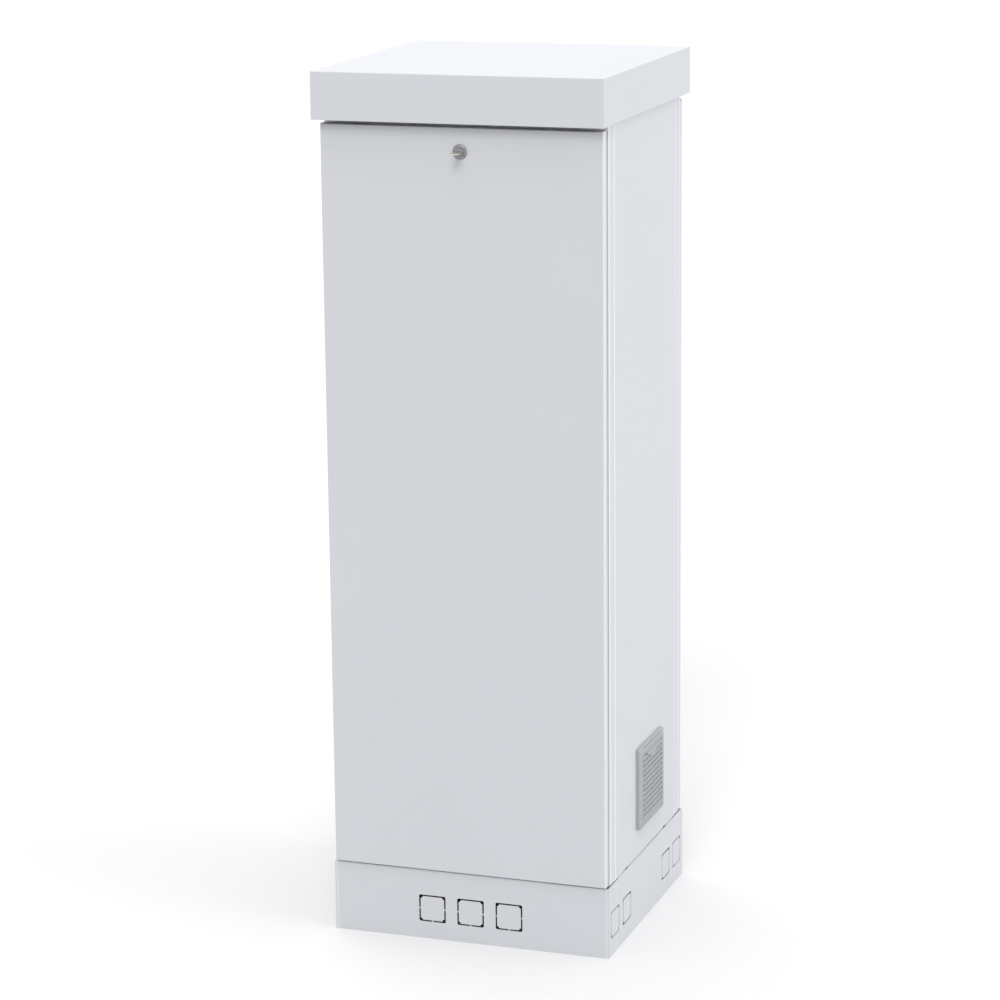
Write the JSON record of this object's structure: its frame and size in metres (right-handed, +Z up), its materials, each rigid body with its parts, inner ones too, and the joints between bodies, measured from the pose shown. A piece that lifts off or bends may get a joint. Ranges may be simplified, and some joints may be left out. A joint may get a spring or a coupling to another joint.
{
  "type": "floor-standing rack cabinet",
  "caption": "Floor-standing sheet-metal rack cabinet on a plinth, with a tilting locked front door, a hood, equipment rails inside and a louvred filter grille on one side.",
  "frame": {"origin": "on the floor, under the centre of the plinth and of its four anchor holes", "axes": "+Z is up, -Y is the front with the door, +X is the side with the filter grille"},
  "size_m": [0.6145, 0.6264, 1.8053],
  "materials": {
    "cabinet_paint": "light grey powder coat, fine texture",
    "zinc_steel": "zinc-plated sheet steel",
    "lock_metal": "satin nickel-plated zinc",
    "key_metal": "nickel-plated brass, brushed",
    "grille_plastic": "light grey moulded plastic",
    "filter_felt": "white filter felt",
    "foam": "dark closed-cell foam"
  },
  "bodies": {
    "cabinet": {"base_frame": "cabinet_paint", "base_studs": "zinc_steel", "brace_high_left": "zinc_steel", "brace_high_right": "zinc_steel", "brace_low_left": "zinc_steel", "brace_low_right": "zinc_steel", "cable_strip_front": "foam", "cable_strip_rear": "foam", "filter_frame": "grille_plastic", "filter_mat": "filter_felt", "gland_plate": "zinc_steel", "hood": "cabinet_paint", "hood_rail_left": "zinc_steel", "hood_rail_right": "zinc_steel", "pivot_bracket_left": "zinc_steel", "pivot_bracket_right": "zinc_steel", "plinth_corner_front_left": "zinc_steel", "plinth_corner_front_right": "zinc_steel", "plinth_corner_rear_left": "zinc_steel", "plinth_corner_rear_right": "zinc_steel", "plinth_front": "cabinet_paint", "plinth_left": "cabinet_paint", "plinth_rear": "cabinet_paint", "plinth_right": "cabinet_paint", "post_front_left": "cabinet_paint", "post_front_right": "cabinet_paint", "post_rear_left": "cabinet_paint", "post_rear_right": "cabinet_paint", "rail_left": "zinc_steel", "rail_right": "zinc_steel", "rail_studs": "zinc_steel", "rear_gasket": "foam", "rear_panel": "cabinet_paint", "rear_panel_studs": "zinc_steel", "side_panel_left": "cabinet_paint", "side_panel_right": "cabinet_paint", "side_panel_studs": "zinc_steel", "top_frame": "cabinet_paint"},
    "door": {"front_door": "cabinet_paint", "door_gasket": "foam", "door_stiffener_left": "zinc_steel", "door_stiffener_right": "zinc_steel", "door_hook_left": "zinc_steel", "door_hook_right": "zinc_steel", "lock_body": "lock_metal", "lock_nut": "lock_metal"},
    "lock": {"lock_plug": "lock_metal", "key": "key_metal", "lock_cam": "lock_metal"},
    "cover": {"grille_cover": "grille_plastic"}
  },
  "joints": [
    {"name": "door_tilt", "type": "hinge", "parent": "cabinet", "child": "door", "pos_m": [0, -0.266, 0.163], "axis": [1, 0, 0], "range_deg": [0, 15]},
    {"name": "lock_turn", "type": "hinge", "parent": "door", "child": "lock", "pos_m": [0, -0.2797, 1.651], "axis": [0, 1, 0], "range_deg": [0, 90]},
    {"name": "cover_tilt", "type": "hinge", "parent": "cabinet", "child": "cover", "pos_m": [0.302, 0.015, 0.2156], "axis": [0, 1, 0], "range_deg": [0, 80]}
  ]
}
